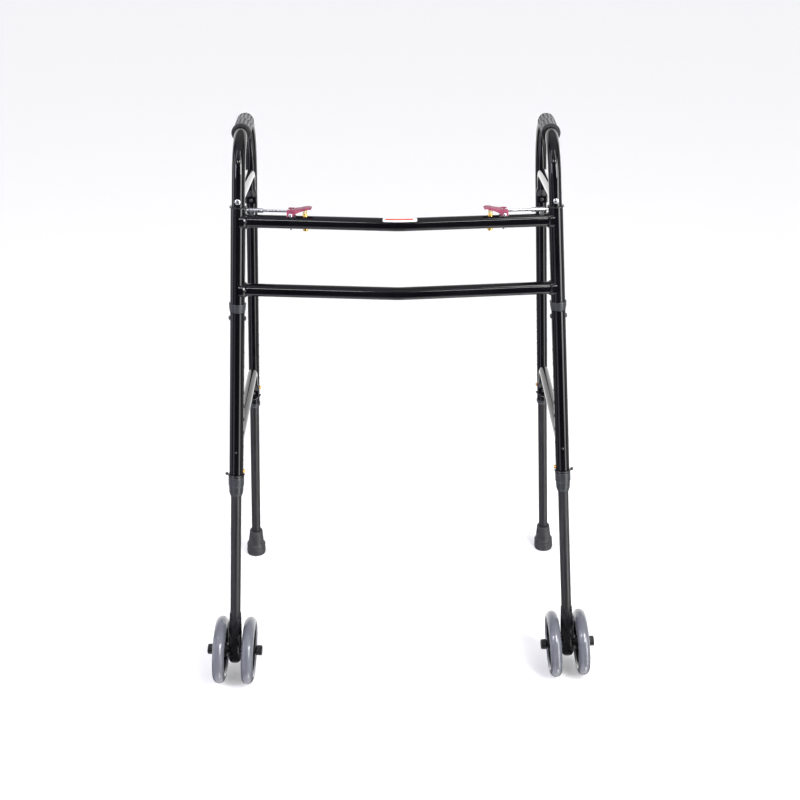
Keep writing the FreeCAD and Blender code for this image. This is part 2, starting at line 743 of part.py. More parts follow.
def spoke(centre, reach, across):
    corners = []
    for distance, width in ((6.0, 1.35), (RIM_INNER_R + 1.5, 0.75)):
        for side in (-1, 1) if distance < 10 else (1, -1):
            offset = across * (side * width * SPOKE_WIDTH / 2)
            corners.append(centre + reach * distance + offset - AXLE_OUT * 5.5)
    face = Part.Face(Part.makePolygon(corners + corners[:1]))
    return face.extrude(AXLE_OUT * 11)


# ---------------------------------------------------------------- rear extension
def rear_extension():
    body = tube(rear(REAR_EXT_BOTTOM), rear(REAR_EXT_TOP), INNER_R, INNER_BORE)
    at = rear(REAR_BUTTON_Z)
    return body.cut(rod(at, at + REAR_IN * 20, BUTTON_R + RUNNING))


def rubber_tip():
    """Ferrule over the foot of the extension, flat where it meets the floor."""
    outline = [(60, INNER_R), (60, 13.3), (58.5, 14.1), (48, 15.0), (31, 16.7),
               (27, 18.3), (24.5, 20.0), (22, 20.2), (20.5, 19.2), (18, 19.2),
               (16.5, 20.0), (7, 20.6), (2.5, 20.0), (-2, 18.3), (-2, 0), (9, 0),
               (9, INNER_R)]
    body = turned(outline, rear(0), REAR_UP)
    return body.cut(box((0, 0, -40), (600, 600, 0)))


# ---------------------------------------------------------------- snap buttons
def snap_button(centre, inward, wall_radius):
    """Domed pin that snaps out through the leg's hole."""
    top = wall_radius + BUTTON_PROUD
    outline = [(3.0, 0), (3.0, 5.6), (4.2, 5.6), (4.2, BUTTON_R), (top - 2.6, BUTTON_R),
               (top - 1.3, 3.1), (top - 0.4, 1.9), (top, 0)]
    return turned(outline, centre, inward)


# ---------------------------------------------------------------- all nodes
def build_front_frame():
    write_both_sides("sleeve", sleeve())
    write("upper_crossbar", upper_crossbar())
    write("lower_crossbar", crossbar(LOWER_BAR_Z))
    write_shared("weld_beads", [weld_bead(UPPER_BAR_Z), weld_bead(LOWER_BAR_Z)])
    write_shared("upper_bushings", [upper_bushing()])
    write_shared("lower_collars", [lower_collar()])
    write_shared("lever_brackets", [placed(lever_bracket()), placed(lever_pivot_pin())])
    write_shared("spring_bolts", [placed(spring_bolt())])
    write_shared("rod_guides", [placed(rod_guide())])
    write_both_sides("lever_spring", placed(lever_spring()))
    for prefix, flip in (("left_", False), ("right_", True)):
        solids = [placed(lever()), placed(lever_link_pin())]
        if flip:
            solids = [mirrored(solid) for solid in solids]
        write_group(prefix + "release_lever", solids)
    write_both_sides("latch_rod", latch_rod())


def build_side_frames():
    write_both_sides("side_tube", side_tube())
    write_both_sides("hand_grip", hand_grip())
    write_both_sides("front_leg", front_leg())
    write_both_sides("stop_screw", stop_screw())
    upper = side_brace(UPPER_BRACE_FRONT_Z, UPPER_BRACE_REAR_Z, SIDE_R)
    lower = side_brace(LOWER_BRACE_FRONT_Z, LOWER_BRACE_REAR_Z, LEG_R)
    write_both_sides("upper_brace", upper)
    write_both_sides("lower_brace", lower)
    bushings = [front_bushing(), rear_bushing()]
    clips = [lock_clip(front(FRONT_CLIP_Z), FRONT_UP, FRONT_IN, FRONT_AHEAD, LEG_R, 0),
             lock_clip(rear(REAR_CLIP_Z), REAR_UP, REAR_IN, REAR_AHEAD, SIDE_R,
                       REAR_CLIP_TILT)]
    groups = {"leg_bushings": bushings, "side_fasteners": side_fasteners(),
              "lock_clips": clips}
    for name, solids in groups.items():
        write_group("left_" + name, solids)
        write_group("right_" + name, [mirrored(solid) for solid in solids])


def build_legs():
    write_both_sides("front_extension", front_extension())
    write_both_sides("guide_ring", guide_ring())
    write_both_sides("wheel_bracket", wheel_bracket())
    write_both_sides("axle", axle())
    caps = [axle_cap(1), axle_cap(-1)]
    write_group("left_axle_caps", caps)
    write_group("right_axle_caps", [mirrored(cap) for cap in caps])
    for side, place in ((1, "outer"), (-1, "inner")):
        write_both_sides(place + "_tyre", tyre(side))
        write_both_sides(place + "_wheel_hub", hub(side))
    write_both_sides("front_button", snap_button(front(FRONT_BUTTON_Z), FRONT_IN, LEG_R))
    write_both_sides("rear_extension", rear_extension())
    write_both_sides("rubber_tip", rubber_tip())
    write_both_sides("rear_button", snap_button(rear(REAR_BUTTON_Z), REAR_IN, SIDE_R))


build_front_frame()
build_side_frames()
build_legs()
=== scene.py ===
import math

import bmesh
import bpy
from mathutils import Matrix, Vector


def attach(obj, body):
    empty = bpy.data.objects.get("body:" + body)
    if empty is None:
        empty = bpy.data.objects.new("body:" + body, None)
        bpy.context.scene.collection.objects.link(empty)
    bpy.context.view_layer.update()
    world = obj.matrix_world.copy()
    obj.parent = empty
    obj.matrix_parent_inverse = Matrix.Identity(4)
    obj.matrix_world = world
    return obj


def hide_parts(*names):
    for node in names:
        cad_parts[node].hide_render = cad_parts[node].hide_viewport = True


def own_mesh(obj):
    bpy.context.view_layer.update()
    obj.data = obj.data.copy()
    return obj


# A walking frame with two folding sides, seen from in front and above.
# Metres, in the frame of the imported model: the front faces -Y, +Z is up.

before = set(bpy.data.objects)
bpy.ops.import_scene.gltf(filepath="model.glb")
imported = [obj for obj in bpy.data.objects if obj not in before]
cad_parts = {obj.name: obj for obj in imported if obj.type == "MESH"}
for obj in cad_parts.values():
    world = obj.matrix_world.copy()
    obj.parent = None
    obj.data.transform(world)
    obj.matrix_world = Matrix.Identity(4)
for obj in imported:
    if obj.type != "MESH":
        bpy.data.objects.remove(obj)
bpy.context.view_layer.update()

SIDES = {"left": 1, "right": -1}

# ---------------------------------------------------------------- the frame's lines
REF_Z = 0.860
FRONT_XY = (0.2687, -0.1565)
FRONT_DRIFT = (0.0621, -0.0621)     # outward and forward, per metre of drop
REAR_XY = (0.2795, 0.1885)
REAR_DRIFT = (0.0517, 0.0705)
UPPER_BAR_Z = 0.896
BAR_BOW = 0.0263                    # how far the crossbar bows forward
BAR_BEND_R = 0.100
TUBE_R = 0.0111
GRIP_FRONT_Z = 1.029                # corners of the side tube
GRIP_REAR_Z = 1.013
FRONT_BEND_R = 0.062
AXLE_Z = 0.0652
CAP_NEAR = 0.0389                   # leg line to the inner end of an axle cap
STOP_SCREW_Z = 0.930
LEVER_X = 0.1775                    # pivot of a lever, along the crossbar
SPRING_AT = 0.0235                  # lever spring, along the bar from the pivot
SPRING_FOOT_Z = 0.9087


def front(z, side=1):
    """Point of a front leg's line; side is 1 for the left, -1 for the right."""
    drop = REF_Z - z
    return Vector(((FRONT_XY[0] + FRONT_DRIFT[0] * drop) * side,
                   FRONT_XY[1] + FRONT_DRIFT[1] * drop, z))


def rear(z, side=1):
    """Point of a rear leg's line."""
    drop = REF_Z - z
    return Vector(((REAR_XY[0] + REAR_DRIFT[0] * drop) * side,
                   REAR_XY[1] + REAR_DRIFT[1] * drop, z))


def leg_up(side):
    """Direction of a front leg's line, upward."""
    return (front(1, side) - front(0, side)).normalized()


UP = Vector((0, 0, 1))
AHEAD = Vector((0, -1, 0))


# ---------------------------------------------------------------- materials
class ShaderTree:
    """Adds nodes and links to the shader tree of a material or a world."""

    def __init__(self, owner):
        owner.use_nodes = True
        self.tree = owner.node_tree

    def node(self, kind, **settings):
        made = self.tree.nodes.new(kind)
        for key, value in settings.items():
            setattr(made, key, value)
        return made

    def link(self, source, target):
        self.tree.links.new(source, target)

    def mapped(self, source, start, end, low, high, **settings):
        """low before start, high past end, and a slope between them."""
        slope = self.node("ShaderNodeMapRange", **settings)
        slope.inputs["From Min"].default_value = start
        slope.inputs["From Max"].default_value = end
        slope.inputs["To Min"].default_value = low
        slope.inputs["To Max"].default_value = high
        self.link(source, slope.inputs["Value"])
        return slope.outputs["Result"]


class Paint(ShaderTree):
    """Builds one procedural material from layers of noise."""

    def __init__(self, name, metallic=0.0, ior=1.5):
        self.material = bpy.data.materials.new(name)
        super().__init__(self.material)
        self.shader = self.tree.nodes["Principled BSDF"]
        self.shader.inputs["Metallic"].default_value = metallic
        self.shader.inputs["IOR"].default_value = ior
        self.coords = self.node("ShaderNodeTexCoord").outputs["Object"]
        self.bump_out = None

    def stretched(self, scale):
        """Object coordinates, scaled apart along each axis."""
        mapping = self.node("ShaderNodeMapping")
        mapping.inputs["Scale"].default_value = scale
        self.link(self.coords, mapping.inputs["Vector"])
        return mapping.outputs["Vector"]

    def noise(self, scale, detail=3.0, rough=0.55, stretch=(1, 1, 1)):
        made = self.node("ShaderNodeTexNoise")
        made.inputs["Scale"].default_value = scale
        made.inputs["Detail"].default_value = detail
        made.inputs["Roughness"].default_value = rough
        self.link(self.stretched(stretch), made.inputs["Vector"])
        return made.outputs["Fac"]

    def cells(self, scale):
        made = self.node("ShaderNodeTexVoronoi")
        made.inputs["Scale"].default_value = scale
        self.link(self.coords, made.inputs["Vector"])
        return made.outputs["Distance"]

    def ranged(self, source, low, high, start=0.3, end=0.7):
        """The source's usual middle range, spread from low to high."""
        return self.mapped(source, start, end, low, high)

    def colours(self, source, stops):
        """Base colour ramp: stops are (place, red, green, blue)."""
        ramp_node = self.node("ShaderNodeValToRGB")
        ramp = ramp_node.color_ramp
        while len(ramp.elements) < len(stops):
            ramp.elements.new(0.5)
        for element, stop in zip(ramp.elements, stops):
            element.position = stop[0]
            element.color = (*stop[1:], 1.0)
        self.link(source, ramp_node.inputs["Fac"])
        self.link(ramp_node.outputs["Color"], self.shader.inputs["Base Color"])

    def rough(self, source, low, high):
        self.link(self.ranged(source, low, high), self.shader.inputs["Roughness"])

    def bump(self, source, depth, strength=0.5):
        made = self.node("ShaderNodeBump")
        made.inputs["Strength"].default_value = strength
        made.inputs["Distance"].default_value = depth
        self.link(source, made.inputs["Height"])
        if self.bump_out is not None:
            self.link(self.bump_out, made.inputs["Normal"])
        self.bump_out = made.outputs["Normal"]
        self.link(self.bump_out, self.shader.inputs["Normal"])

    def specular(self, level):
        self.shader.inputs["Specular IOR Level"].default_value = level

    def coat(self, weight, roughness):
        self.shader.inputs["Coat Weight"].default_value = weight
        self.shader.inputs["Coat Roughness"].default_value = roughness


def gloss_paint():
    """Black lacquer on the frame's tubes: orange peel, faint clouds and scuffs."""
    paint = Paint("frame_gloss_black", ior=1.42)
    cloud = paint.noise(14, detail=5)
    paint.colours(cloud, [(0.35, 0.0020, 0.0020, 0.0028),
                          (0.62, 0.0034, 0.0034, 0.0046),
                          (0.85, 0.0060, 0.0060, 0.0076)])
    scuffs = paint.noise(60, detail=6, stretch=(1, 1, 0.12))
    paint.rough(scuffs, 0.05, 0.12)
    paint.bump(paint.noise(420, detail=2), 0.00008, 0.25)
    return paint.material


def satin_tube():
    """Drawn and blacked aluminium: fine streaks along the tube."""
    paint = Paint("extension_satin", metallic=0.35)
    streaks = paint.noise(260, detail=4, stretch=(1, 1, 0.02))
    paint.colours(streaks, [(0.30, 0.018, 0.018, 0.020),
                            (0.55, 0.027, 0.027, 0.029),
                            (0.80, 0.040, 0.040, 0.043)])
    paint.rough(paint.noise(45, detail=5, stretch=(1, 1, 0.2)), 0.30, 0.48)
    paint.bump(streaks, 0.00005, 0.5)
    return paint.material


def moulded(name, dark, light, roughness, grain=700.0, depth=0.00008):
    """Moulded plastic or rubber: slight mottling, uneven gloss and a fine grain."""
    paint = Paint(name)
    cloud = paint.noise(55, detail=4)
    paint.colours(cloud, [(0.3, *dark), (0.75, *light)])
    paint.rough(paint.noise(90, detail=3), *roughness)
    paint.bump(paint.noise(grain, detail=2), depth, 0.5)
    return paint


def tyre_rubber():
    """Grey tyre: slight mottling, a clear gloss and faint road marks."""
    paint = moulded("tyre_grey", (0.108, 0.113, 0.135), (0.130, 0.136, 0.162),
                    (0.30, 0.42), grain=380.0, depth=0.00002)
    paint.specular(0.30)
    paint.coat(0.75, 0.07)
    marks = paint.ranged(paint.noise(190, detail=5, rough=0.7), 0.0, 1.0, 0.62, 0.74)
    paint.bump(marks, 0.00005, 0.3)
    return paint.material


MOTTLE_SHARE = 0.35                 # weight of the mottling beside the painted groove shade


def grip_material():
    """Soft grip: matt charcoal with pores; painted shade darkens the moulded grooves, and
    the ridges stay lighter.
    """
    paint = Paint("grip_charcoal")
    # Painted shade: the colour darkens with the depth of the moulded grooves.
    painted_groove_shade = paint.node("ShaderNodeAttribute", attribute_name="painted_groove_shade")
    shade = paint.node("ShaderNodeMath", operation="MULTIPLY_ADD")
    shade.inputs[1].default_value = MOTTLE_SHARE
    paint.link(paint.noise(160, detail=5), shade.inputs[0])
    paint.link(painted_groove_shade.outputs["Fac"], shade.inputs[2])
    paint.colours(shade.outputs["Value"], [(0.12, 0.105, 0.101, 0.108),
                                           (0.34, 0.050, 0.048, 0.053),
                                           (0.80, 0.004, 0.004, 0.005)])
    paint.rough(paint.noise(90, detail=3), 0.50, 0.72)
    paint.shader.inputs["Sheen Weight"].default_value = 0.12
    paint.bump(paint.noise(900, detail=2), 0.00018, 0.5)
    paint.bump(paint.cells(520), 0.00012, 0.35)
    return paint.material


def tip_material():
    """Dark rubber: dusty bloom and pores."""
    paint = moulded("tip_rubber", (0.016, 0.016, 0.018), (0.040, 0.040, 0.043),
                    (0.48, 0.72), grain=620.0, depth=0.00020)
    paint.bump(paint.cells(340), 0.00012, 0.3)
    return paint.material


def lever_material():
    """Burgundy enamel, a little uneven in colour and gloss."""
    paint = Paint("lever_burgundy")
    cloud = paint.noise(120, detail=4)
    paint.colours(cloud, [(0.25, 0.165, 0.026, 0.058),
                          (0.55, 0.245, 0.050, 0.092),
                          (0.85, 0.310, 0.085, 0.130)])
    paint.rough(paint.noise(200), 0.34, 0.50)
    paint.bump(paint.noise(520, detail=2), 0.00010, 0.4)
    paint.specular(0.30)
    return paint.material


def plated(name, stops, roughness):
    """Bright plated metal: crystalline speckle and uneven polish."""
    paint = Paint(name, metallic=1.0)
    paint.colours(paint.noise(240, detail=5), stops)
    paint.rough(paint.noise(380, detail=4), *roughness)
    paint.bump(paint.cells(900), 0.00004, 0.4)
    return paint.material


def wire_material():
    """Black dipped steel of the wire clips and fasteners."""
    paint = moulded("black_wire", (0.008, 0.008, 0.009), (0.026, 0.026, 0.028),
                    (0.22, 0.40), grain=1100.0, depth=0.00006)
    paint.coat(0.3, 0.1)
    return paint.material


def label_material():
    """Blank matt paper."""
    paint = Paint("label_white")
    paint.colours(paint.noise(260, detail=6), [(0.3, 0.64, 0.64, 0.63),
                                               (0.8, 0.74, 0.74, 0.73)])
    paint.rough(paint.noise(120), 0.55, 0.70)
    paint.specular(0.15)
    paint.bump(paint.noise(700), 0.00003, 0.4)
    return paint.material


def stripe_material():
    """Plain red print on the label."""
    paint = Paint("label_stripe")
    paint.colours(paint.noise(300, detail=5), [(0.3, 0.50, 0.040, 0.022),
                                               (0.8, 0.66, 0.075, 0.040)])
    paint.rough(paint.noise(120), 0.55, 0.70)
    paint.specular(0.15)
    return paint.material


ZINC = [(0.25, 0.52, 0.53, 0.55), (0.8, 0.80, 0.81, 0.84)]
YELLOW = [(0.25, 0.62, 0.42, 0.10), (0.8, 0.90, 0.68, 0.24)]
BRASS = [(0.25, 0.58, 0.29, 0.08), (0.8, 0.85, 0.50, 0.18)]

MATERIALS = {
    "frame_gloss": gloss_paint(),
    "extension_satin": satin_tube(),
    "wheel_plastic": moulded("wheel_black", (0.006, 0.006, 0.007),
                             (0.016, 0.016, 0.018), (0.22, 0.38)).material,
    "tyre": tyre_rubber(),
    "grip": grip_material(),
    "tip_rubber": tip_material(),
    "collar_plastic": moulded("collar_grey", (0.018, 0.020, 0.023),
                              (0.032, 0.035, 0.040), (0.30, 0.46)).material,
    "lever_paint": lever_material(),
    "bright_zinc": plated("bright_zinc", ZINC, (0.18, 0.36)),
    "yellow_zinc": plated("yellow_zinc", YELLOW, (0.16, 0.34)),
    "brass": plated("brass_button", BRASS, (0.20, 0.38)),
    "black_steel": wire_material(),
    "label": label_material(),
    "stripe": stripe_material(),
}

NODE_FINISH = {
    "frame_gloss": ["sleeve", "side_tube", "front_leg", "upper_brace", "lower_brace",
                    "upper_crossbar", "lower_crossbar", "weld_beads"],
    "extension_satin": ["front_extension", "rear_extension"],
    "wheel_plastic": ["wheel_bracket", "axle_caps", "wheel_hub", "guide_ring",
                      "upper_bushings"],
    "tyre": ["tyre"],
    "grip": ["hand_grip"],
    "tip_rubber": ["rubber_tip"],
    "collar_plastic": ["lower_collars", "leg_bushings"],
    "lever_paint": ["release_lever"],
    "bright_zinc": ["latch_rod", "stop_screw", "rod_guides", "lever_brackets", "axle"],
    "yellow_zinc": ["lever_spring", "spring_bolts"],
    "brass": ["front_button", "rear_button"],
    "black_steel": ["lock_clips", "side_fasteners"],
}


def finish_of(node):
    """The finish whose list holds the longest ending of the node's name."""
    fits = [(len(ending), finish) for finish, endings in NODE_FINISH.items()
            for ending in endings if node.endswith(ending)]
    return max(fits)[1]


def dress_nodes():
    """Gives each node of the frame its finish."""
    for name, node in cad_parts.items():
        node.data.materials.clear()
        node.data.materials.append(MATERIALS[finish_of(name)])


dress_nodes()


# ---------------------------------------------------------------- new pieces
SHARP = math.radians(35)            # edges that turn further than this stay crisp


def add_piece(name, shape, material, body):
    """Turns a finished bmesh into a piece that rides on a body."""
    bmesh.ops.recalc_face_normals(shape, faces=shape.faces)
    for face in shape.faces:
        face.smooth = True
    for edge in shape.edges:
        edge.smooth = len(edge.link_faces) != 2 or edge.calc_face_angle() < SHARP
    mesh = bpy.data.meshes.new(name)
    shape.to_mesh(mesh)
    shape.free()
    piece = bpy.data.objects.new(name, mesh)
    mesh.materials.append(MATERIALS[material])
    bpy.context.scene.collection.objects.link(piece)
    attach(piece, body)
    return piece


def turns(count):
    """Angles of points spaced evenly round a circle."""
    return [2 * math.pi * step / count for step in range(count)]


def join_rings(shape, inner, outer):
    """Faces between two rings; the inner one may be a single vertex."""
    count = len(outer)
    for here in range(count):
        there = (here + 1) % count
        corners = [inner[here], inner[there], outer[there], outer[here]]
        if inner[here] is inner[there]:
            corners = corners[1:]
        shape.faces.new(corners)


def fine(profile, step):
    """The profile with extra points, no further apart than step."""
    points = []
    for (along, radius), (next_along, next_radius) in zip(profile, profile[1:]):
        length = math.hypot(next_along - along, next_radius - radius)
        parts = max(1, math.ceil(length / step))
        for part in range(parts):
            share = part / parts
            points.append((along + (next_along - along) * share,
                           radius + (next_radius - radius) * share))
    return points + [profile[-1]]


def lathe(shape, profile, start, heading, around, relief, tube=False):
    """Surface of revolution; relief gives the depth cut at (along, turn, radius).

    A tube's profile closes on itself; any other shape ends in two flat faces.
    """
    upright = (UP - heading * heading.dot(UP)).normalized()
    level = heading.cross(upright)
    rings = []
    for along, radius in profile:
        ring = []
        for turn in turns(around):
            depth = relief(along, turn, radius)
            out = upright * math.cos(turn) + level * math.sin(turn)
            ring.append(shape.verts.new(start + heading * along + out * (radius - depth)))
        rings.append(ring)
    joined = list(zip(rings, rings[1:]))
    if tube:
        joined.append((rings[-1], rings[0]))
    else:
        shape.faces.new(rings[0])
        shape.faces.new(rings[-1])
    for ring, following in joined:
        join_rings(shape, ring, following)


# ---------------------------------------------------------------- hand grips
GRIP_LENGTH = 0.118
GRIP_R = 0.0151
FLANGE_R = 0.0166
FLUTES = 14                         # grooves round the grip
FLUTE_ROWS = 2                      # each row is turned by half a groove
FLUTE_START = 0.009
FLUTE_ROW = 0.052
FLUTE_HALF_LENGTH = 0.0246
FLUTE_HALF_WIDTH = 0.0021
FLUTE_DEPTH = 0.0014
BARREL = (0.009, GRIP_LENGTH - 0.005)   # stretch of the grip where the painted shade follows the depth of the grooves
END_SHADE = 0.55                    # painted shade of the flange and the far end
GRIP_STEP = 0.0009                  # spacing of the grip's rings
POINTS_PER_FLUTE = 10


def eased(share):
    """Smooth step from 0 to 1."""
    share = min(max(share, 0.0), 1.0)
    return share * share * (3 - 2 * share)


def flute(along, turn, radius):
    """Depth of the staggered, round-ended grooves moulded into the grip."""
    row = math.floor((along - FLUTE_START) / FLUTE_ROW)
    if radius < GRIP_R - 0.001 or not 0 <= row < FLUTE_ROWS:
        return 0.0
    pitch = 2 * math.pi / FLUTES
    off_middle = (turn + pitch * row / 2) % pitch - pitch / 2
    off_centre = along - FLUTE_START - FLUTE_ROW * (row + 0.5)
    past_end = max(0.0, abs(off_centre) - (FLUTE_HALF_LENGTH - FLUTE_HALF_WIDTH))
    reach = math.hypot(off_middle * radius, past_end)
    return FLUTE_DEPTH * eased((FLUTE_HALF_WIDTH - reach) / (0.8 * FLUTE_HALF_WIDTH))


def grip_line(side):
    """Start and heading of the straight run that the grip covers."""
    corner = front(GRIP_FRONT_Z, side)
    heading = (rear(GRIP_REAR_Z, side) - corner).normalized()
    rising = (corner - front(REF_Z, side)).normalized()
    turn = rising.angle(heading)
    return corner + heading * FRONT_BEND_R * math.tan(turn / 2), heading


def hand_grip(name, side):
    """Moulded sleeve: flange at the front, fluted barrel, rounded far end."""
    start, heading = grip_line(side)
    flange = [(0, TUBE_R), (0, 0.0150), (0.0004, 0.0158), (0.0012, 0.0164),
              (0.0024, FLANGE_R), (0.0044, FLANGE_R), (0.0054, 0.0162),
              (0.0060, 0.0154), (0.0072, 0.01495), (0.0086, GRIP_R)]
    far_end = [(GRIP_LENGTH - 0.0040, GRIP_R), (GRIP_LENGTH - 0.0018, 0.0147),
               (GRIP_LENGTH - 0.0005, 0.0138), (GRIP_LENGTH, 0.0126), (GRIP_LENGTH, TUBE_R)]
    shape = bmesh.new()
    lathe(shape, fine(flange + far_end, GRIP_STEP), start, heading,
          FLUTES * POINTS_PER_FLUTE, flute, tube=True)
    piece = add_piece(name + "_fluted_grip", shape, "grip", name + "_side_frame")
    # Mask of painted shade for the grip's colour: the depth of the grooves on the barrel, a
    # fixed share elsewhere.
    painted_groove_shade = piece.data.attributes.new("painted_groove_shade", "FLOAT", "POINT")
    for vertex, share in zip(piece.data.vertices, painted_groove_shade.data):
        off = vertex.co - start
        along = off.dot(heading)
        radius = (off - heading * along).length
        share.value = END_SHADE
        if BARREL[0] < along < BARREL[1]:
            share.value = eased((GRIP_R - radius) / FLUTE_DEPTH)
    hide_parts(name + "_hand_grip")


# ---------------------------------------------------------------- upper crossbar
def bar_point(along):
    """Point and heading of the upper crossbar's axis at X = along."""
    end = front(UPPER_BAR_Z)
    slope = BAR_BOW / end.x
    lean = math.atan(slope)
    arc_end = BAR_BEND_R * math.tan(lean) * math.cos(lean)
    middle_y = end.y - BAR_BOW
    if abs(along) >= arc_end:
        heading = Vector((1, math.copysign(slope, along), 0)).normalized()
        return Vector((along, middle_y + slope * abs(along), UPPER_BAR_Z)), heading
    centre_y = middle_y + slope * arc_end + BAR_BEND_R * math.cos(lean)
    deep = math.sqrt(BAR_BEND_R ** 2 - along ** 2)
    return (Vector((along, centre_y - deep, UPPER_BAR_Z)),
            Vector((deep, along, 0)).normalized())


def label_patch(name, material, centre, half_length, angles, corner, lift, thickness):
    """Thin rounded rectangle wrapped on the bar; angles run from the front, upward."""
    low, high = [math.radians(angle) for angle in angles]
    half_height = (high - low) * TUBE_R / 2
    rows = 24
    columns = 40
    shape = bmesh.new()
    lines = []
    for row in range(rows + 1):
        off = (2 * row / rows - 1) * half_height
        into_corner = max(0.0, abs(off) - (half_height - corner))
        short = corner - math.sqrt(max(0.0, corner ** 2 - into_corner ** 2))
        angle = (low + high) / 2 + off / TUBE_R
        line = []
        for column in range(columns + 1):
            along = centre + (2 * column / columns - 1) * (half_length - short)
            axis_point, heading = bar_point(along)
            ahead = -UP.cross(heading)
            out = ahead * math.cos(angle) + UP * math.sin(angle)
            line.append(shape.verts.new(axis_point + out * (TUBE_R + lift)))
        lines.append(line)
    for line, following in zip(lines, lines[1:]):
        for column in range(columns):
            shape.faces.new((line[column], line[column + 1], following[column + 1],
                             following[column]))
    piece = add_piece(name, shape, material, "front_frame")
    film = piece.modifiers.new("film", "SOLIDIFY")
    film.thickness = thickness
    film.offset = 1.0


def bar_label():
    """Blank white label with a plain red band, on the top of the bar."""
    label_patch("bar_label", "label", centre=0.003, half_length=0.028, angles=(38, 118),
                corner=0.0022, lift=0.00006, thickness=0.00012)
    label_patch("bar_label_band", "stripe", centre=0.002, half_length=0.0225,
                angles=(56, 72), corner=0.0007, lift=0.00020, thickness=0.00004)


# ---------------------------------------------------------------- lever springs
SPRING_LENGTH = 0.009
SPRING_R = 0.0034
SPRING_WIRE_R = 0.0006
SPRING_TURNS = 3.5
SPRING_STEPS = 98                   # along the whole coil
WIRE_AROUND = 10


def lever_spring(name, side):
    """Coil between the bar and the lever, in its resting shape."""
    foot, heading = bar_point(LEVER_X)
    foot = foot - heading * SPRING_AT
    foot.z = SPRING_FOOT_Z
    shape = bmesh.new()
    rings = []
    for step in range(SPRING_STEPS + 1):
        turn = 2 * math.pi * SPRING_TURNS * step / SPRING_STEPS
        out = Vector((math.cos(turn), math.sin(turn), 0))
        rise = SPRING_WIRE_R + SPRING_LENGTH * step / SPRING_STEPS
        middle = foot + out * SPRING_R + UP * rise
        ring = []
        for angle in turns(WIRE_AROUND):
            off = out * math.cos(angle) + UP * math.sin(angle)
            ring.append(shape.verts.new(middle + off * SPRING_WIRE_R))
        rings.append(ring)
    shape.faces.new(rings[0])
    shape.faces.new(rings[-1])
    for ring, following in zip(rings, rings[1:]):
        join_rings(shape, ring, following)
    for vertex in shape.verts:
        vertex.co.x *= side
    foot.x *= side
    piece = add_piece(name + "_coil_spring", shape, "yellow_zinc", "front_frame")
    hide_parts(name + "_lever_spring")
    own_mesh(piece)


# ---------------------------------------------------------------- screws and caps
SCREW_R = 0.0048
SCREW_RIM = 0.0010                  # tube wall to the rim of the dome
SCREW_DOME = 0.0018
SCREW_SKIRT = 0.0024
SCREW_AROUND = 96
SCREW_RINGS = 28
RECESS_HALF_WIDTH = 0.00062
RECESS_REACH = 0.0027
RECESS_DEPTH = 0.0014
RECESS_SIDE_SLOPE = 0.0003
RECESS_END_SLOPE = 0.0006


def screw_height(across, up):
    """Height of the domed head above the leg line, with its cross recess."""
    radius = math.hypot(across, up)
    bulge = math.sqrt(max(0.0, 1 - (radius / SCREW_R) ** 2))
    nearest = min(abs(across), abs(up))
    arm = eased((RECESS_HALF_WIDTH - nearest) / RECESS_SIDE_SLOPE + 0.5)
    reach = eased((RECESS_REACH - radius) / RECESS_END_SLOPE)
    return TUBE_R + SCREW_RIM + SCREW_DOME * bulge - RECESS_DEPTH * arm * reach


def stop_screw(name, side):
    """Pan-head screw with a cross recess, in the front of the side tube."""
    at = front(STOP_SCREW_Z, side)
    upright = leg_up(side)
    ahead = (AHEAD - upright * upright.dot(AHEAD)).normalized()
    level = ahead.cross(upright)
    shape = bmesh.new()
    centre = shape.verts.new(at + ahead * screw_height(0, 0))
    last = [centre] * SCREW_AROUND
    for number in range(SCREW_RINGS):
        radius = SCREW_R * (number + 1) / SCREW_RINGS
        ring = []
        for turn in turns(SCREW_AROUND):
            across, up = radius * math.cos(turn), radius * math.sin(turn)
            ring.append(shape.verts.new(at + level * across + upright * up
                                        + ahead * screw_height(across, up)))
        join_rings(shape, last, ring)
        last = ring
    skirt = [shape.verts.new(vertex.co - ahead * SCREW_SKIRT) for vertex in last]
    join_rings(shape, last, skirt)
    shape.faces.new(skirt)
    piece = add_piece(name + "_cross_screw", shape, "bright_zinc", name + "_side_frame")
    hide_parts(name + "_stop_screw")


CAP_LENGTH = 0.0125
CAP_R = 0.0097
CAP_RIM = CAP_LENGTH - 0.0014       # where the cap's outer end starts to round off
CAP_STEP = 0.0008                   # spacing of the cap's rings
CAP_RIBS = 22
POINTS_PER_RIB = 6
CAP_RIB_DEPTH = 0.00045
CAP_RIB_START = 0.0034
CAP_RIB_FOOT = 0.0090               # smallest radius that carries ribs


def cap_rib(along, turn, radius):
    """Depth of the grooves that give the cap's rim its grip."""
    if not CAP_RIB_START < along < CAP_RIM or radius < CAP_RIB_FOOT:
        return 0.0
    return CAP_RIB_DEPTH * (0.5 - 0.5 * math.cos(turn * CAP_RIBS))


def axle_caps(name, side):
    """Push-on caps with ribbed rims, one at each end of the axle."""
    profile = [(0, 0.0064), (0.0014, 0.0089), (0.0022, 0.0094), (0.0030, CAP_R),
               (CAP_RIM, CAP_R), (CAP_LENGTH - 0.0004, 0.0090),
               (CAP_LENGTH, 0.0078), (CAP_LENGTH - 0.0008, 0.0066)]
    outward = leg_up(side).cross(AHEAD)
    shape = bmesh.new()
    for heading in (outward, -outward):
        lathe(shape, fine(profile, CAP_STEP), front(AXLE_Z, side) + heading * CAP_NEAR,
              heading, CAP_RIBS * POINTS_PER_RIB, cap_rib)
    piece = add_piece(name + "_ribbed_caps", shape, "wheel_plastic", name + "_front_slider")
    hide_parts(name + "_axle_caps")


for side_name, side_sign in SIDES.items():
    hand_grip(side_name, side_sign)
    lever_spring(side_name, side_sign)
    stop_screw(side_name, side_sign)
    axle_caps(side_name, side_sign)
bar_label()


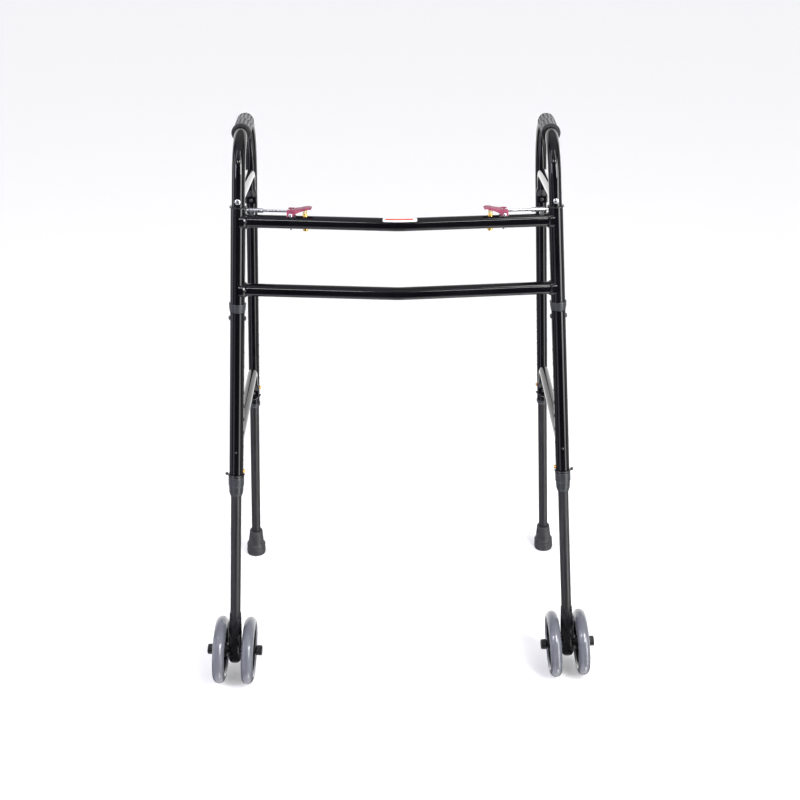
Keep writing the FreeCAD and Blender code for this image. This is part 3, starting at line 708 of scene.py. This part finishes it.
# ---------------------------------------------------------------- camera and light
CAMERA_PLACE = (-0.0070, -2.2234, 1.5341)
CAMERA_YAW = 3.31                   # degrees from +Y towards +X
CAMERA_PITCH = 25.0                 # degrees downward
CAMERA_ROLL = 0.755
CAMERA_LENS = 57.4
CAMERA_SHIFT = (-0.0784, -0.0044)

ZENITH = 0.75                       # brightness overhead
BACKDROP = 1.6                      # brightness behind the frame
UNDERGLOW = 1.0                     # brightness straight below
GLOOM = 0.012                       # brightness of the rest
FLOOR_HALF = 60.0                   # floor and wall reach past every view
FLOOR_GREY = 0.93
FLOOR_GLOW = 0.17
WALL_R = 55.0
WALL_FOOT = -0.01
WALL_TOP = 60.0
WALL_SIDES = 96
WALL_GLOW = 0.93
# Heights of a direction (its Z) between which one brightness turns into the next.
OVERHEAD = (0.50, 0.85)
TOP_EDGE = (0.35, 0.70)
LOW_EDGE = (-0.68, -0.42)
BELOW = (-0.92, -0.72)
STRIP_STEP = (-0.38, -0.15)
# Sectors of headings: middle, half width and soft edge, in degrees.
BEHIND = (180, 40, 30)
LAVENDER_SIDE = (-70, 40, 20)
# Tall strips: sector, brightness below STRIP_STEP and above it.
STRIPS = [((52, 10, 4), 4.5, 9.0), ((-42, 10, 4), 1.5, 0.6), ((-86, 11, 4), 0.7, 3.0),
          ((96, 10, 4), 0.8, 0.8)]
WHITE = (1, 1, 1)
LAVENDER = (0.88, 0.85, 1.0)
MIDDLE = (0, 0, 0.5)
WHEELS = (0, -0.2, 0.06)
# Panels: name, place, target, size, power, colour.
PANELS = [("key", (1.3, -1.9, 2.9), MIDDLE, (0.22, 2.2), 22, WHITE),
          ("fill", (-1.9, -1.4, 2.7), MIDDLE, (0.26, 2.2), 13, WHITE),
          ("low_key", (0.9, -1.3, 1.25), WHEELS, (0.34, 0.8), 15, WHITE),
          ("low_fill", (-1.3, -1.2, 1.25), WHEELS, (0.30, 0.8), 10, LAVENDER),
          ("line", (0.95, -2.6, 2.9), MIDDLE, (0.6, 0.2), 9, WHITE),
          ("line", (-0.95, -2.6, 2.9), MIDDLE, (0.6, 0.2), 9, WHITE)]


def add_camera():
    """Camera in front of the frame and above it, turned a little towards +X."""
    yaw = math.radians(CAMERA_YAW)
    pitch = math.radians(CAMERA_PITCH)
    roll = math.radians(CAMERA_ROLL)
    ahead = Vector((math.sin(yaw) * math.cos(pitch), math.cos(yaw) * math.cos(pitch),
                    -math.sin(pitch)))
    level = Vector((math.cos(yaw), -math.sin(yaw), 0))
    upright = level.cross(ahead)
    right = level * math.cos(roll) + upright * math.sin(roll)
    up = upright * math.cos(roll) - level * math.sin(roll)
    camera = bpy.data.objects.new("camera", bpy.data.cameras.new("camera"))
    turned = Matrix((right, up, -ahead)).transposed().to_4x4()
    camera.matrix_world = Matrix.Translation(CAMERA_PLACE) @ turned
    camera.data.lens = CAMERA_LENS
    camera.data.sensor_width = 36.0
    camera.data.shift_x, camera.data.shift_y = CAMERA_SHIFT
    bpy.context.scene.collection.objects.link(camera)
    bpy.context.scene.camera = camera


def stage_piece(name, shape, grey, glow, roughness):
    """Plain glowing object made from a finished bmesh, hidden from reflections."""
    mesh = bpy.data.meshes.new(name)
    shape.to_mesh(mesh)
    shape.free()
    material = bpy.data.materials.new(name)
    material.use_nodes = True
    shader = material.node_tree.nodes["Principled BSDF"]
    shader.inputs["Base Color"].default_value = (grey, grey, grey, 1)
    shader.inputs["Roughness"].default_value = roughness
    shader.inputs["Specular IOR Level"].default_value = 0.0
    shader.inputs["Emission Color"].default_value = (1, 1, 1, 1)
    shader.inputs["Emission Strength"].default_value = glow
    mesh.materials.append(material)
    piece = bpy.data.objects.new(name, mesh)
    bpy.context.scene.collection.objects.link(piece)
    piece.visible_glossy = False
    return piece


def add_floor():
    shape = bmesh.new()
    corners = [shape.verts.new((x * FLOOR_HALF, y * FLOOR_HALF, 0))
               for x, y in ((-1, -1), (1, -1), (1, 1), (-1, 1))]
    shape.faces.new(corners)
    floor = stage_piece("floor", shape, FLOOR_GREY, FLOOR_GLOW, 1.0)


def add_backdrop():
    """Pale round wall far around everything, seen by the camera alone."""
    shape = bmesh.new()
    foot, top = [[shape.verts.new((WALL_R * math.cos(angle), WALL_R * math.sin(angle), z))
                  for angle in turns(WALL_SIDES)] for z in (WALL_FOOT, WALL_TOP)]
    join_rings(shape, foot, top)
    wall = stage_piece("backdrop", shape, 0, WALL_GLOW, 0.5)
    wall.visible_diffuse = False
    wall.visible_shadow = False
    wall.visible_transmission = False


def add_panel(name, place, target, size, power, colour):
    """Rectangular lamp at place, facing target."""
    light = bpy.data.lights.new(name, "AREA")
    light.shape = "RECTANGLE"
    light.size, light.size_y = size
    light.energy = power
    light.color = colour
    lamp = bpy.data.objects.new(name, light)
    lamp.location = place
    facing = Vector(target) - Vector(place)
    lamp.rotation_euler = facing.to_track_quat("-Z", "Y").to_euler()
    bpy.context.scene.collection.objects.link(lamp)


class Surroundings(ShaderTree):
    """World brightness as a sum of soft-edged regions of the view direction."""

    def __init__(self):
        self.world = bpy.data.worlds.new("studio")
        super().__init__(self.world)
        self.total = None
        direction = self.node("ShaderNodeTexCoord").outputs["Generated"]
        split = self.node("ShaderNodeSeparateXYZ")
        self.link(direction, split.inputs["Vector"])
        self.height = split.outputs["Z"]
        flat = self.node("ShaderNodeCombineXYZ")
        self.link(split.outputs["X"], flat.inputs["X"])
        self.link(split.outputs["Y"], flat.inputs["Y"])
        level = self.node("ShaderNodeVectorMath", operation="NORMALIZE")
        self.link(flat.outputs["Vector"], level.inputs[0])
        self.heading = level.outputs["Vector"]

    def step(self, source, edge, low=0.0, high=1.0):
        """low before the edge's start, high past its end, eased between them."""
        start, end = edge
        return self.mapped(source, start, end, low, high,
                           interpolation_type="SMOOTHSTEP")

    def towards(self, degrees):
        """Cosine of the angle from a heading, counted from -Y towards +X."""
        dot = self.node("ShaderNodeVectorMath", operation="DOT_PRODUCT")
        angle = math.radians(degrees)
        dot.inputs[1].default_value = (math.sin(angle), -math.cos(angle), 0)
        self.link(self.heading, dot.inputs[0])
        return dot.outputs["Value"]

    def sector(self, centre, half_width, soft):
        """1 inside a sector of headings; its edge is soft degrees wide."""
        edge = (math.cos(math.radians(half_width + soft)),
                math.cos(math.radians(half_width)))
        return self.step(self.towards(centre), edge)

    def times(self, one, other):
        """Product of two sockets."""
        product = self.node("ShaderNodeMath", operation="MULTIPLY")
        self.link(one, product.inputs[0])
        self.link(other, product.inputs[1])
        return product.outputs["Value"]

    def add(self, source, weight):
        """Adds a region to the total; the first one starts from the gloom."""
        term = self.node("ShaderNodeMath", operation="MULTIPLY_ADD")
        term.inputs[1].default_value = weight
        term.inputs[2].default_value = GLOOM
        self.link(source, term.inputs[0])
        if self.total is not None:
            self.link(self.total, term.inputs[2])
        self.total = term.outputs["Value"]


def add_world():
    """Bright overhead, behind and straight below, dim elsewhere, with tall strips."""
    around = Surroundings()
    around.add(around.step(around.height, OVERHEAD), ZENITH)
    not_high = around.step(around.height, TOP_EDGE, 1.0, 0.0)
    not_low = around.step(around.height, LOW_EDGE)
    behind = around.times(around.sector(*BEHIND), around.times(not_high, not_low))
    around.add(behind, BACKDROP)
    around.add(around.step(around.height, BELOW, 1.0, 0.0), UNDERGLOW)
    for sector, below, above in STRIPS:
        shape = around.times(around.sector(*sector), not_high)
        brightness = around.step(around.height, STRIP_STEP, below, above)
        around.add(around.times(shape, brightness), 1.0)
    tint = around.node("ShaderNodeValToRGB")
    tint.color_ramp.elements[0].color = (*WHITE, 1)
    tint.color_ramp.elements[1].color = (*LAVENDER, 1)
    around.link(around.sector(*LAVENDER_SIDE), tint.inputs["Fac"])
    background = around.tree.nodes["Background"]
    around.link(tint.outputs["Color"], background.inputs["Color"])
    around.link(around.total, background.inputs["Strength"])
    bpy.context.scene.world = around.world


add_camera()
add_floor()
add_backdrop()
add_world()
for panel in PANELS:
    add_panel(*panel)
bpy.context.scene.view_settings.view_transform = "Standard"
